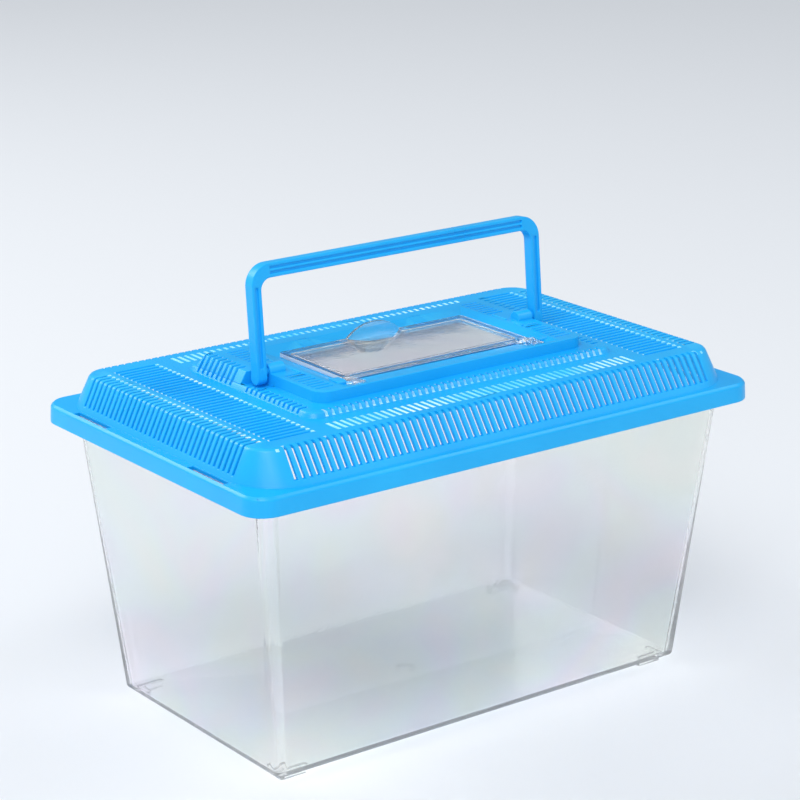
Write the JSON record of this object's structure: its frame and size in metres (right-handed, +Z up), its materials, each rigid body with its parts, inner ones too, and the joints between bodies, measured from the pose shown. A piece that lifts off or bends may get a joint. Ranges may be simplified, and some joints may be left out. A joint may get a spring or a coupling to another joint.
{
  "type": "plastic fish tank",
  "caption": "Small clear plastic fish tank with a raised, slotted lid, a clear feeding hatch with a finger pull, and a folding carry handle.",
  "frame": {"origin": "centre of the footprint, on the plane under the feet", "axes": "+X along the tank's length, -Y towards the long side that the hatch is hinged on, +Z up"},
  "size_m": [0.234, 0.147, 0.1789],
  "materials": {
    "clear_plastic": "clear moulded polystyrene, polished",
    "blue_plastic": "sky-blue moulded plastic, semi-gloss"
  },
  "bodies": {
    "tank": {"tank": "clear_plastic"},
    "lid": {"lid": "blue_plastic"},
    "hatch": {"hatch": "clear_plastic"},
    "handle": {"handle": "blue_plastic"}
  },
  "joints": [
    {"name": "lid_lift", "type": "slide", "parent": "tank", "child": "lid", "axis": [0, 0, 1], "range_m": [0, 0.04]},
    {"name": "hatch_hinge", "type": "hinge", "parent": "lid", "child": "hatch", "pos_m": [0, -0.0242, 0.1364], "axis": [1, 0, 0], "range_deg": [0, 110]},
    {"name": "handle_hinge", "type": "hinge", "parent": "lid", "child": "handle", "pos_m": [0, 0, 0.1384], "axis": [1, 0, 0], "range_deg": [-50, 96]}
  ]
}
